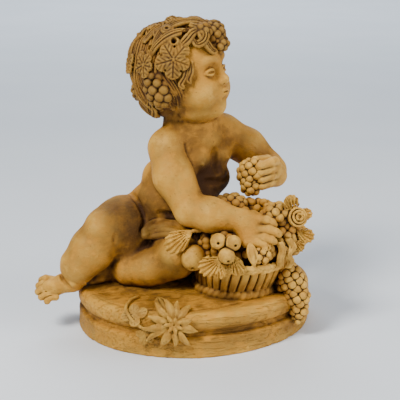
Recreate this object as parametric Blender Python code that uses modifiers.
"""A terracotta statue of a seated child with a basket of grapes, on a two-tier oval base.

The statue is one piece of clay, so every form below is laid into one heap of clay, the heap is fused
into a single skin, and the skin is thinned to a faceted solid that stands on a flat underside.
Metres, +Z up. The front of the statue faces -Y and its long side runs along X.
"""

import math

import bmesh
import bpy
from mathutils import Matrix, Vector

# Driving sizes, in metres
HEIGHT = 0.360
BASE_HEIGHT = 0.052
BASE_LENGTH = 0.282
BASE_WIDTH = 0.238
LOWER_TIER = 0.024
GROOVE_HEIGHT = 0.006
GROOVE_DEPTH = 0.006
EDGE_ROUND = 0.009

# The figure is carved in shares of its own height: one share is 1/308 of the height above the base
FIGURE_SHARES = 308.0
SHARE = (HEIGHT - BASE_HEIGHT) / FIGURE_SHARES
FIGURE_TURN = math.radians(-8.4)
FIGURE_SHIFT = (4, 0, 0)

# How finely the clay is fused and how many facets are kept
SKIN_STEP = 0.0021
FACET_LIMIT = 9700
UNDERCUT = 0.006

# Places on the figure, in shares, before the figure is shifted and turned on the base
HIPS = (-44, 30, 52)
BELLY = (-24, 14, 98)
CHEST = (-2, 20, 140)
CHEST_FACING = (0.64, -0.77, 0.0)
NECK_FOOT = (0, 18, 168)
NECK_TOP = (-8, 13, 212)
RIGHT_SHOULDER = (-36, -8, 161)
RIGHT_ELBOW = (-14, -47, 98)
RIGHT_WRIST = (41, -66, 88)
LEFT_SHOULDER = (36, 41, 165)
LEFT_ELBOW = (90, 34, 126)
LEFT_WRIST = (93, 4, 121)
RIGHT_KNEE = (-107, -10, 65)
RIGHT_ANKLE = (-149, -19, 11)
LEFT_KNEE = (-30, -38, 40)
LEFT_ANKLE = (-97, -9, 15)
HEAD = (-17, 12, 247)
HEAD_FACING = (0.829, -0.518, 0.208)
HEAD_SHARE = 1.07

# The basket and what lies in it, in shares
BASKET_FOOT_CENTRE = (40, -34)
BASKET_CENTRE = (46, -37)
BASKET_FOOT_RADIUS = 46
BASKET_RIM_RADIUS = 57
BASKET_RIM_LEVEL = 40
SLAT_COUNT = 26
GRAPE_SHARE = 5.6
HEAP_GRAPES = 170


def at(x, y, z):
    """A place on the figure, in metres."""
    return Vector((x * SHARE, y * SHARE, BASE_HEIGHT + z * SHARE))


def turned(forward, up=(0.0, 0.0, 1.0)):
    """A turn whose first column looks forward and whose third column is as near up as it can be."""
    ahead = Vector(forward).normalized()
    side = Vector(up).cross(ahead).normalized()
    top = ahead.cross(side)
    return Matrix((ahead, side, top)).transposed()


def ball(clay, place, radius, detail=2):
    """A round pellet of clay."""
    where = Matrix.Translation(at(*place))
    bmesh.ops.create_icosphere(clay, subdivisions=detail, radius=radius * SHARE, matrix=where)


def egg(clay, place, half, forward=(1.0, 0.0, 0.0), up=(0.0, 0.0, 1.0), detail=3):
    """A long or flattened pellet: half holds its half-lengths ahead, aside and upward."""
    sizes = Matrix.Diagonal((half[0] * SHARE, half[1] * SHARE, half[2] * SHARE, 1.0))
    where = Matrix.Translation(at(*place)) @ turned(forward, up).to_4x4() @ sizes
    bmesh.ops.create_icosphere(clay, subdivisions=detail, radius=1.0, matrix=where)


def add_hull(clay, lump):
    """Shrink-wraps one lump and adds it to the clay."""
    found = bmesh.ops.convex_hull(lump, input=lump.verts)
    spare = [item for item in found["geom_interior"] + found["geom_unused"] if item.is_valid]
    loose = [item for item in spare if isinstance(item, bmesh.types.BMVert)]
    bmesh.ops.delete(lump, geom=list(set(loose)), context="VERTS")
    bmesh.ops.recalc_face_normals(lump, faces=lump.faces)
    holder = bpy.data.meshes.new("lump")
    lump.to_mesh(holder)
    clay.from_mesh(holder)
    bpy.data.meshes.remove(holder)
    lump.free()


def bridge(clay, rounds, detail=2):
    """One smooth lump stretched over several balls, each given as (x, y, z, radius)."""
    lump = bmesh.new()
    for x, y, z, radius in rounds:
        ball(lump, (x, y, z), radius, detail)
    add_hull(clay, lump)


def limb(clay, rounds, detail=2):
    """A chain of tapered lumps through balls given as (x, y, z, radius)."""
    for first, second in zip(rounds, rounds[1:]):
        bridge(clay, [first, second], detail)


def leaf(clay, root, tip, width, facing, thickness=3.0, lobes=3):
    """A leaf of a few overlapping flat lobes along a rib, facing outward."""
    start, end, out = Vector(root), Vector(tip), Vector(facing)
    along = end - start
    for index in range(lobes):
        share = (index + 0.8) / (lobes + 0.6)
        middle = start + along * share
        reach = along.length / lobes * 0.95
        broad = width * math.sin(math.pi * (0.25 + 0.62 * share))
        egg(clay, middle, (reach, broad, thickness), along, out, 2)
    limb(clay, [(*start, 2.4), (*(start + along * 0.9), 1.6)], 1)


def cluster(clay, middle, half, count, forward=(1.0, 0.0, 0.0), radius=GRAPE_SHARE):
    """Grapes set all round an oval heart by the golden angle."""
    turn = turned(forward)
    egg(clay, middle, [value * 0.86 for value in half], forward, (0, 0, 1), 2)
    for index in range(count):
        height = 1.0 - 2.0 * (index + 0.5) / count
        ring = math.sqrt(1.0 - height * height)
        angle = index * 2.399963
        spot = Vector((half[0] * ring * math.cos(angle), half[1] * ring * math.sin(angle), half[2] * height))
        ball(clay, Vector(middle) + turn @ spot, radius, 2)


def oval_ring(lump, inset, level):
    """One outline of the base at a level, drawn in from the full size by inset."""
    ring = bmesh.ops.create_circle(lump, segments=96, radius=1.0)["verts"]
    for vertex in ring:
        vertex.co.x *= BASE_LENGTH / 2 - inset
        vertex.co.y *= BASE_WIDTH / 2 - inset
        vertex.co.z = level


def tier(clay, bottom, top, inset, lower_round, upper_round):
    """One oval slab of the base with rounded lower and upper edges."""
    lump = bmesh.new()
    for step in range(5):
        swing = math.radians(22.5 * step)
        back, rise = 1.0 - math.cos(swing), 1.0 - math.sin(swing)
        oval_ring(lump, inset + lower_round * back, bottom + lower_round * rise)
        oval_ring(lump, inset + upper_round * back, top - upper_round * rise)
    add_hull(clay, lump)


def base(clay):
    """Two tiers with a groove between them, and a low mound where the child sits."""
    groove_top = LOWER_TIER + GROOVE_HEIGHT
    tier(clay, -UNDERCUT, LOWER_TIER, 0.0, 0.001, EDGE_ROUND * 0.45)
    tier(clay, LOWER_TIER * 0.5, BASE_HEIGHT - EDGE_ROUND, GROOVE_DEPTH, 0.001, 0.001)
    tier(clay, groove_top, BASE_HEIGHT, 0.001, EDGE_ROUND * 0.45, EDGE_ROUND)


def mound(clay):
    """The low swell of clay that the child and the basket sit on."""
    egg(clay, (-44, 24, -2), (88, 62, 9))
    egg(clay, (46, -34, -1), (66, 58, 6))


def base_flower(clay):
    """A flower with pointed petals in relief on the front of the base."""
    facing = Vector((-0.22, -0.97, 0.12)).normalized()
    turn = turned(facing)
    heart = Vector((-41, -114, -11))
    for index in range(10):
        angle = math.radians(36 * index + 8)
        ray = turn @ Vector((0.0, math.cos(angle), math.sin(angle)))
        reach = 13.0 if index % 2 else 15.0
        egg(clay, heart + ray * reach, (12, 4, 3.4), ray, facing, 2)
    ball(clay, heart - facing * 1.0, 5, 2)
    limb(clay, [(-69, -107, -15, 2), (-83, -99, -11, 2), (-88, -92, 0, 2), (-79, -63, 2, 2)], 1)
    egg(clay, (-52, -86, 2), (17, 8, 3.5), (0.1, 1.0, 0.0), (0, 0, 1), 2)


def base_leaves(clay):
    """Two round leaves in relief on the rounded edge and the front of the base."""
    egg(clay, (-76, -86, -5), (17, 13, 3.6), (1.0, -0.25, -0.1), (-0.45, -0.62, 0.64), 3)
    egg(clay, (-72, -107, -34), (15, 9, 3.2), (1.0, -0.3, 0.0), (-0.42, -0.9, 0.1), 3)


def torso(clay):
    """Seat, belly, chest and neck of a plump child, turned from the hips to the shoulders."""
    lower = bmesh.new()
    egg(lower, HIPS, (48, 38, 44))
    egg(lower, BELLY, (51, 36, 32), (0.95, 0.3, 0.0))
    add_hull(clay, lower)
    side = (0.77, 0.64, 0.0)
    upper = bmesh.new()
    egg(upper, BELLY, (48, 35, 30), (0.95, 0.3, 0.0))
    egg(upper, CHEST, (45, 33, 36), side)
    add_hull(clay, upper)
    yoke = bmesh.new()
    egg(yoke, CHEST, (42, 30, 28), side)
    ball(yoke, RIGHT_SHOULDER, 22, 2)
    ball(yoke, LEFT_SHOULDER, 22, 2)
    ball(yoke, NECK_FOOT, 25, 2)
    add_hull(clay, yoke)
    limb(clay, [(*NECK_FOOT, 30), (*NECK_TOP, 31)])
    bridge(clay, [(-27, -2, 170, 17), (28, 36, 173, 17), (-6, 16, 192, 22)])
    egg(clay, (-4, -4, 94), (28, 26, 28))
    egg(clay, (8, 15, 120), (31, 26, 24))
    egg(clay, (-36, 16, 126), (27, 24, 24))
    egg(clay, (-50, 24, 82), (34, 33, 30))
    egg(clay, (-62, 50, 30), (28, 30, 32))
    egg(clay, (-22, 50, 30), (28, 30, 32))


def right_arm(clay):
    """The near arm: down from the shoulder, bent at the elbow and laid across to the fruit."""
    limb(clay, [(*RIGHT_SHOULDER, 22), (-31, -26, 132, 22.5), (*RIGHT_ELBOW, 20)])
    limb(clay, [(*RIGHT_ELBOW, 20), (8, -57, 94, 19.5), (*RIGHT_WRIST, 14.5)])


def right_hand(clay):
    """The near hand, laid on the fruit with its four fingers spread to the right and down."""
    bridge(clay, [(*RIGHT_WRIST, 12.5), (61, -67, 86, 6.5), (60, -74, 78, 7), (46, -79, 68, 6.5)])
    fingers = (
        ((62, -66, 87), (83, -72, 81), 5.4),
        ((61, -74, 78), (88, -79, 70), 5.6),
        ((54, -79, 71), (72, -85, 62), 5.4),
        ((45, -80, 67), (56, -88, 58), 5.0),
    )
    for root, tip, thick in fingers:
        bend = (Vector(root) + Vector(tip)) * 0.5 + Vector((0, -1.5, 3))
        limb(clay, [(*root, thick), (*bend, thick), (*tip, thick * 0.85)])
    limb(clay, [(44, -56, 92, 7), (56, -50, 98, 6), (68, -50, 100, 5)])


def left_arm(clay):
    """The far arm: raised aside, bent at the elbow, the forearm coming forward."""
    limb(clay, [(*LEFT_SHOULDER, 22), (65, 41, 149, 20.5), (*LEFT_ELBOW, 17.5)])
    limb(clay, [(*LEFT_ELBOW, 17.5), (93, 20, 123, 16), (*LEFT_WRIST, 13)])


def left_hand(clay):
    """The far hand, closed round the held bunch, with four fingers one above the other."""
    bridge(clay, [(*LEFT_WRIST, 12.5), (89, -9, 141, 6), (90, -9, 117, 6)])
    for index in range(4):
        level = 143 - 8.6 * index
        knuckle = (86, -17, level)
        limb(clay, [(88, -11, level - 1, 5.6), (*knuckle, 5.4), (69 + index, -25, level - 1, 4.8)])
    limb(clay, [(92, 4, 132, 7), (82, 8, 138, 6), (70, 5, 139, 5)])


def legs(clay):
    """The near leg raised and turned out over the edge, the far leg folded in front."""
    limb(clay, [(-62, 22, 55, 38), (-88, 5, 64, 34), (*RIGHT_KNEE, 28)])
    limb(clay, [(*RIGHT_KNEE, 27.5), (-126, -15, 44, 26), (-141, -18, 27, 22), (*RIGHT_ANKLE, 16)])
    limb(clay, [(-34, 14, 48, 34), (*LEFT_KNEE, 26)])
    limb(clay, [(*LEFT_KNEE, 24), (-60, -27, 23, 22), (-84, -18, 17, 20), (*LEFT_ANKLE, 15)])


def feet(clay):
    """The near foot hangs past the edge of the base; the far foot is tucked under the shin."""
    heel = (-147, -18, 5, 12)
    bridge(clay, [heel, (*RIGHT_ANKLE, 14), (-173, -25, -1, 10), (-171, -9, 0, 9)])
    for index in range(5):
        thick = 7.2 - 0.6 * index
        aside = -28 + 6.2 * index
        end = -187 + 1.2 * index
        limb(clay, [(-171, aside + 1, -2, thick), (end, aside, -6 + 0.8 * index, thick)])
    bridge(clay, [(*LEFT_ANKLE, 13), (-116, -14, 9, 8), (-116, -2, 9, 8)])
    for index in range(5):
        limb(clay, [(-116, -16 + 4 * index, 8, 4.5), (-127, -17 + 4.4 * index, 7, 4.0)], 1)


def lap_cloth(clay):
    """A narrow cloth over the lap, in round folds that run on behind the basket."""
    for index in range(5):
        lift = 5.5 * index
        shift = 4.5 * index
        fold = [
            (-62 + 3 * index, -14 + shift * 0.5, 54 + lift * 0.6, 5.5),
            (-40, -24 + shift, 60 + lift * 0.55, 6.5),
            (-14, -26 + shift, 64 + lift * 0.4, 6.5),
            (8, -18 + shift, 56 + lift * 0.3, 6),
        ]
        limb(clay, fold)
    for index in range(4):
        aside = 18 + 9 * index
        limb(clay, [(10, 2 + index * 5, 52, 7), (aside, 20 + index * 3, 30, 7), (aside + 12, 24 + index * 4, 3, 7)])
    bridge(clay, [(-10, 8, 40, 14), (30, 16, 14, 12), (44, 22, 2, 8), (0, 30, 10, 12)])


def head_place(ahead, aside, above):
    """A place on the head: ahead of, beside (the child's left) and above its middle."""
    return Vector(HEAD) + turned(HEAD_FACING) @ Vector((ahead, aside, above)) * HEAD_SHARE


def face(clay):
    """A calm child's face on plain proportions: round skull, full cheeks, short nose, small chin."""
    look = HEAD_FACING
    egg(clay, head_place(-3, 0, 2), (51, 46, 50), look)
    egg(clay, head_place(15, 0, 14), (37, 40, 34), look)
    egg(clay, head_place(15, 0, -24), (34, 37, 33), look)
    for side in (-1, 1):
        ball(clay, head_place(27, 19 * side, -23), 18)
        egg(clay, head_place(-2, 43 * side, -14), (8, 4, 12), look)
        egg(clay, head_place(42, 15 * side, -5), (5, 7, 4), look, (0, 0, 1), 2)
    limb(clay, [(*head_place(46, 0, -4), 3.5), (*head_place(51, 0, -16), 5.0)])
    for side in (-1, 1):
        ball(clay, head_place(47, 4.5 * side, -17), 3.4)
    egg(clay, head_place(43, 0, -28), (5, 9, 4), look)
    ball(clay, head_place(35, 0, -43), 11)
    egg(clay, head_place(12, 0, -44), (27, 27, 15), look)


def scalp_place(turn, lift, proud):
    """A place on the hair: turn runs round from the face, lift goes from the neck up to the crown."""
    ahead = (50 + proud) * math.cos(lift) * math.cos(turn) - 3
    aside = (45 + proud) * math.cos(lift) * math.sin(turn)
    above = (47 + proud) * math.sin(lift) + 4
    return head_place(ahead, aside, above)


def hair(clay):
    """Wavy locks from the crown down to the nape, a tuft on the crown and curls on the forehead."""
    egg(clay, head_place(-10, 0, 6), (49, 50, 51), HEAD_FACING)
    egg(clay, head_place(-22, 0, -20), (36, 42, 36), HEAD_FACING)
    for index in range(15):
        turn = math.radians(80 + 14.3 * index)
        lock = []
        for step in range(6):
            sway = 0.07 * math.sin(2.2 * step + index)
            lift = math.radians(66 - 23 * step)
            lock.append((*scalp_place(turn + sway, lift, 2.5), 5.8 - 0.35 * step))
        limb(clay, lock, 1)
    for index in range(7):
        turn = math.radians(-54 + 18 * index)
        ball(clay, scalp_place(turn, math.radians(44), 1), 7.5)
    for index in range(4):
        turn = math.radians(90 * index + 30)
        curl = [(*scalp_place(turn, math.radians(62), 2), 6), (*scalp_place(turn + 0.7, math.radians(84), 4), 5.5)]
        limb(clay, curl, 1)


def wreath(clay):
    """Vine leaves and small bunches of grapes in a ring round the head."""
    for index in range(10):
        turn = math.radians(36 * index + 22)
        root = scalp_place(turn, math.radians(22), 4)
        tip = scalp_place(turn + 0.5, math.radians(16 + 14 * (index % 2)), 6)
        out = root - Vector(HEAD)
        leaf(clay, root, tip, 11, out, 4.0, 2)
    leaf(clay, head_place(18, -44, -1), head_place(30, -40, 26), 18, head_place(24, -60, 12) - Vector(HEAD), 4.0, 3)
    for side in (-1, 1):
        cluster(clay, head_place(0, 46 * side, -12), (10, 9, 18), 26, HEAD_FACING, 5.2)
        cluster(clay, head_place(36, 16 * side, 34), (10, 10, 9), 16, HEAD_FACING, 5.0)


def basket(clay):
    """A bowl-shaped basket of broad upright slats between two rope rims."""
    foot_ring = (*BASKET_FOOT_CENTRE, 0), BASKET_FOOT_RADIUS
    rim_ring = (*BASKET_CENTRE, BASKET_RIM_LEVEL), BASKET_RIM_RADIUS
    bowl = bmesh.new()
    for middle, radius in (foot_ring, rim_ring):
        ring = bmesh.ops.create_circle(bowl, segments=72, radius=(radius - 4) * SHARE)["verts"]
        bmesh.ops.translate(bowl, verts=ring, vec=at(*middle))
    add_hull(clay, bowl)
    for index in range(SLAT_COUNT):
        angle = 2 * math.pi * index / SLAT_COUNT
        ray = Vector((math.cos(angle), math.sin(angle), 0.0))
        foot = Vector((*BASKET_FOOT_CENTRE, 3)) + ray * (BASKET_FOOT_RADIUS - 2)
        rim = Vector((*BASKET_CENTRE, BASKET_RIM_LEVEL)) + ray * (BASKET_RIM_RADIUS - 2)
        middle = (foot + rim) * 0.5 + ray * 2.0
        slat = rim - foot
        egg(clay, middle, (slat.length * 0.6, 4.3, 3.6), slat, ray, 2)
    for (across, deep, level), radius, lift, thick in ((*foot_ring, 2.4, 3.6), (*rim_ring, 0.0, 4.2)):
        beads = 64
        for index in range(beads):
            angle = 2 * math.pi * index / beads
            ray = Vector((math.cos(angle), math.sin(angle), 0.0))
            bead = Vector((across, deep, level + lift)) + ray * radius
            run = Vector((-math.sin(angle), math.cos(angle), 0.5))
            egg(clay, bead, (thick * 1.15, thick * 0.85, thick), run, (0, 0, 1), 1)


def heap_place(angle, share, proud=0.0):
    """A place on the heap of fruit: angle runs round, share goes from the rim up to the top."""
    lift = math.radians(90 * share)
    across = 56 + (64 + proud) * math.cos(lift) * math.cos(angle)
    deep = -38 + (51 + proud) * math.cos(lift) * math.sin(angle)
    return Vector((across, deep, 60 + (42 + proud) * math.sin(lift)))


def heap(clay):
    """The heart of the heap and the grapes that cover it."""
    egg(clay, (56, -38, 60), (63, 50, 41))
    for index in range(HEAP_GRAPES):
        height = (index + 0.5) / HEAP_GRAPES
        share = math.asin(height) * 2.0 / math.pi
        ball(clay, heap_place(index * 2.399963, share), GRAPE_SHARE)


def round_fruit(clay):
    """An apple beside the knee, three small fruits with open ends and a berry."""
    ball(clay, (-11, -58, 51), 14.5, 3)
    for place in ((12, -86, 73), (27, -91, 71), (20, -94, 58)):
        ball(clay, place, 8.6, 2)
    ball(clay, (-3, -76, 68), 5.5, 2)
    ball(clay, (112, -55, 88), 10, 2)
    ball(clay, (118, -60, 64), 8.5, 2)


def basket_leaves(clay):
    """Broad ribbed leaves that hang over the rim and stand round the heap."""
    leaf(clay, (-2, -52, 84), (-40, -58, 54), 15, (-0.5, -0.8, 0.5), 4.0, 3)
    leaf(clay, (14, -90, 66), (-13, -88, 36), 14, (-0.35, -0.93, 0.2), 4.0, 3)
    leaf(clay, (34, -96, 68), (31, -99, 36), 12, (0.0, -1.0, 0.1), 4.0, 3)
    leaf(clay, (52, -96, 62), (62, -97, 40), 11, (0.1, -1.0, 0.1), 4.0, 3)
    leaf(clay, (74, -40, 98), (84, -50, 106), 9, (0.0, -0.6, 0.8), 4.0, 2)
    leaf(clay, (88, -34, 96), (108, -48, 102), 10, (0.3, -0.5, 0.8), 4.0, 2)
    for index in range(4):
        level = 98 - 13 * index
        leaf(clay, (104, -46 - 3 * index, level), (123, -52 - 3 * index, level - 4), 9, (0.5, -0.8, 0.2), 4.0, 2)
    for index in range(5):
        angle = math.radians(10 + 32 * index)
        leaf(clay, heap_place(angle, 0.3, 2), heap_place(angle + 0.1, -0.28, 4), 15, heap_place(angle, 0.0, 60) - heap_place(angle, 0.0), 4.0, 3)


def hanging_bunch(clay):
    """A bunch of grapes and a ribbon that fall from the basket over the edge of the base."""
    cluster(clay, (99, -67, 15), (15, 12, 13), 28, (1, 0, 0))
    cluster(clay, (105, -72, -2), (14, 11, 13), 28, (1, -0.6, 0))
    cluster(clay, (109, -72, -17), (9, 9, 10), 18, (1, -0.8, 0))
    cluster(clay, (109, -71, -27), (5, 6, 6), 8, (1, -0.8, 0))
    limb(clay, [(88, -70, 70, 4), (94, -76, 52, 5), (90, -76, 36, 4.5), (97, -74, 22, 4)])


def held_bunch(clay):
    """The small bunch held up in the far hand."""
    cluster(clay, (65, -12, 131), (12, 11, 15), 30)
    cluster(clay, (62, -14, 114), (9, 8, 11), 18)


def model_clay():
    """Lays every form of the statue into one heap of clay."""
    clay = bmesh.new()
    mound(clay)
    base_flower(clay)
    base_leaves(clay)
    torso(clay)
    legs(clay)
    feet(clay)
    lap_cloth(clay)
    right_arm(clay)
    right_hand(clay)
    left_arm(clay)
    left_hand(clay)
    face(clay)
    hair(clay)
    wreath(clay)
    basket(clay)
    heap(clay)
    round_fruit(clay)
    basket_leaves(clay)
    hanging_bunch(clay)
    held_bunch(clay)
    shift = Matrix.Translation(Vector(FIGURE_SHIFT) * SHARE)
    bmesh.ops.transform(clay, matrix=Matrix.Rotation(FIGURE_TURN, 4, "Z") @ shift, verts=clay.verts)
    base(clay)
    return clay


def fired(body):
    """The mesh of an object after its modifiers."""
    graph = bpy.context.evaluated_depsgraph_get()
    return bpy.data.meshes.new_from_object(body.evaluated_get(graph))


def fuse(clay, group):
    """Fuses the overlapping forms into one skin."""
    rough = bpy.data.meshes.new("rough_clay")
    clay.to_mesh(rough)
    clay.free()
    body = bpy.data.objects.new("rough_clay", rough)
    group.objects.link(body)
    skin = body.modifiers.new("one skin", "REMESH")
    skin.mode = "VOXEL"
    skin.voxel_size = SKIN_STEP
    soft = body.modifiers.new("thumbed smooth", "SMOOTH")
    soft.factor = 0.5
    soft.iterations = 1
    mesh = fired(body)
    bpy.data.objects.remove(body, do_unlink=True)
    return mesh


def keep_outside(skin):
    """Keeps the outer shell alone and drops any pocket closed inside the clay."""
    skin.faces.ensure_lookup_table()
    waiting = set(skin.faces)
    shells = []
    while waiting:
        edge_of = [waiting.pop()]
        shell = set(edge_of)
        while edge_of:
            face_now = edge_of.pop()
            for edge in face_now.edges:
                for other in edge.link_faces:
                    if other in waiting:
                        waiting.discard(other)
                        shell.add(other)
                        edge_of.append(other)
        shells.append(shell)
    largest = max(shells, key=len)
    spare = [item for item in skin.faces if item not in largest]
    bmesh.ops.delete(skin, geom=spare, context="FACES")


def thin_out(mesh, group):
    """Thins the skin to the facets that are kept."""
    skin = bmesh.new()
    skin.from_mesh(mesh)
    keep_outside(skin)
    bmesh.ops.triangulate(skin, faces=skin.faces)
    count = len(skin.faces)
    skin.to_mesh(mesh)
    skin.free()
    body = bpy.data.objects.new("skin", mesh)
    group.objects.link(body)
    fewer = body.modifiers.new("fewer facets", "DECIMATE")
    fewer.ratio = min(1.0, FACET_LIMIT / count)
    thin = fired(body)
    bpy.data.objects.remove(body, do_unlink=True)
    return thin


def cut_underside(mesh):
    """Cuts the underside flat at height zero and closes it."""
    skin = bmesh.new()
    skin.from_mesh(mesh)
    everything = skin.verts[:] + skin.edges[:] + skin.faces[:]
    bmesh.ops.bisect_plane(
        skin, geom=everything, dist=0.00002, plane_co=(0, 0, 0), plane_no=(0, 0, 1), clear_inner=True
    )
    rim = [edge for edge in skin.edges if edge.is_boundary]
    bmesh.ops.contextual_create(skin, geom=rim)
    bmesh.ops.triangulate(skin, faces=skin.faces)
    bmesh.ops.recalc_face_normals(skin, faces=skin.faces)
    skin.to_mesh(mesh)
    skin.free()


def terracotta():
    """The fired clay."""
    material = bpy.data.materials.new("terracotta")
    material.use_nodes = True
    shader = material.node_tree.nodes["Principled BSDF"]
    shader.inputs["Base Color"].default_value = (0.43, 0.22, 0.085, 1.0)
    shader.inputs["Roughness"].default_value = 0.72
    return material


def clear_all():
    """Empties the file."""
    for thing in list(bpy.data.objects):
        bpy.data.objects.remove(thing, do_unlink=True)


def build():
    """Models, fuses, thins and cuts the statue."""
    clear_all()
    group = bpy.data.collections.new("boy_statue")
    bpy.context.scene.collection.children.link(group)
    skin = fuse(model_clay(), group)
    mesh = thin_out(skin, group)
    cut_underside(mesh)
    mesh.name = "boy_with_grape_basket"
    mesh.materials.clear()
    mesh.materials.append(terracotta())
    statue = bpy.data.objects.new("boy_with_grape_basket", mesh)
    group.objects.link(statue)
    low = min(vertex.co.z for vertex in mesh.vertices)
    high = max(vertex.co.z for vertex in mesh.vertices)
    print("facets", len(mesh.polygons), "from", round(low, 5), "to", round(high, 5))


build()
